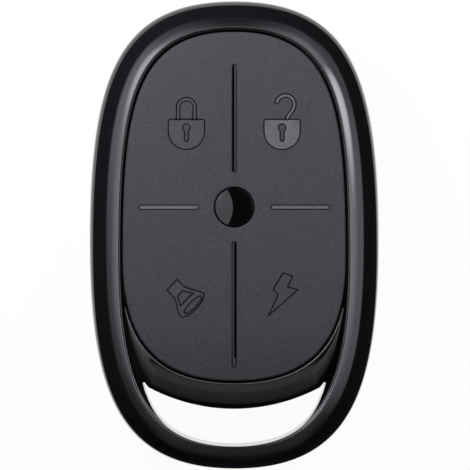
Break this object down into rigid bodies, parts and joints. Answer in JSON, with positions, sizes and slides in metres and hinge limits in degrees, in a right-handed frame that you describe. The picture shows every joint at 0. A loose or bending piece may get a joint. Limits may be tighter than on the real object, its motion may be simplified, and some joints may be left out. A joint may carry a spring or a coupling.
{
  "type": "cloning remote control",
  "caption": "Oval key-fob remote control with a glossy ring case, keyring loop, rocking soft-touch key pad, centre status lens, and switches, board and coin cell inside.",
  "frame": {"origin": "centre of the flat back, on its plane", "axes": "+Z out of the key face, +Y from the keyring loop towards the padlock keys, +X to the right"},
  "size_m": [0.0384, 0.062, 0.0125],
  "materials": {
    "gloss_black": "mirror gloss",
    "case_black": "gloss",
    "soft_pad": "fine soft-touch grain",
    "smoked_lens": "polished",
    "solder_mask": "satin",
    "silicone": "matte",
    "screw_steel": "plated",
    "switch_resin": "matte",
    "spring_steel": "rolled",
    "cell_steel": "satin",
    "gilt_bronze": "plated",
    "led_resin": "clear",
    "chip_resin": "matte",
    "can_metal": "plated",
    "copper_wire": "drawn",
    "capacitor_ceramic": "matte",
    "nylon": "satin",
    "plunger_resin": "satin"
  },
  "bodies": {
    "housing": {"front_frame": "gloss_black", "rear_shell": "case_black", "key_deck": "gloss_black", "status_lens": "smoked_lens", "circuit_board": "solder_mask", "keypad_mat": "silicone", "case_screws": "screw_steel", "switch_bases": "switch_resin", "switch_covers": "spring_steel", "snap_domes": "spring_steel", "coin_cell": "cell_steel", "battery_clip": "spring_steel", "battery_contact": "gilt_bronze", "status_led": "led_resin", "encoder_chip": "chip_resin", "transmitter_chip": "chip_resin", "saw_resonator": "can_metal", "antenna_loop": "copper_wire", "smd_capacitors": "capacitor_ceramic", "smd_resistors": "chip_resin"},
    "collar": {"pivot_collar": "nylon"},
    "pad": {"button_pad": "soft_pad"},
    "arm_switch": {"arm_switch_plunger": "plunger_resin"},
    "disarm_switch": {"disarm_switch_plunger": "plunger_resin"},
    "siren_switch": {"siren_switch_plunger": "plunger_resin"},
    "flash_switch": {"flash_switch_plunger": "plunger_resin"}
  },
  "joints": [
    {"name": "pad_roll", "type": "hinge", "parent": "housing", "child": "collar", "pos_m": [0, 0.00365, 0.0101], "axis": [0, 1, 0], "range_deg": [-0.73, 0.73], "stiffness_Nm_per_rad": 1.25, "deforming": ["keypad_mat"]},
    {"name": "pad_pitch", "type": "hinge", "parent": "collar", "child": "pad", "pos_m": [0, 0.00365, 0.0101], "axis": [1, 0, 0], "range_deg": [-1.32, 1.32], "stiffness_Nm_per_rad": 1.25, "deforming": ["keypad_mat"]},
    {"name": "arm_press", "type": "slide", "parent": "housing", "child": "arm_switch", "axis": [0, 0, 1], "range_m": [-0.00025, 0], "stiffness_N_per_m": 6400, "deforming": ["snap_domes"]},
    {"name": "disarm_press", "type": "slide", "parent": "housing", "child": "disarm_switch", "axis": [0, 0, 1], "range_m": [-0.00025, 0], "stiffness_N_per_m": 6400, "deforming": ["snap_domes"]},
    {"name": "siren_press", "type": "slide", "parent": "housing", "child": "siren_switch", "axis": [0, 0, 1], "range_m": [-0.00025, 0], "stiffness_N_per_m": 6400, "deforming": ["snap_domes"]},
    {"name": "flash_press", "type": "slide", "parent": "housing", "child": "flash_switch", "axis": [0, 0, 1], "range_m": [-0.00025, 0], "stiffness_N_per_m": 6400, "deforming": ["snap_domes"]}
  ]
}
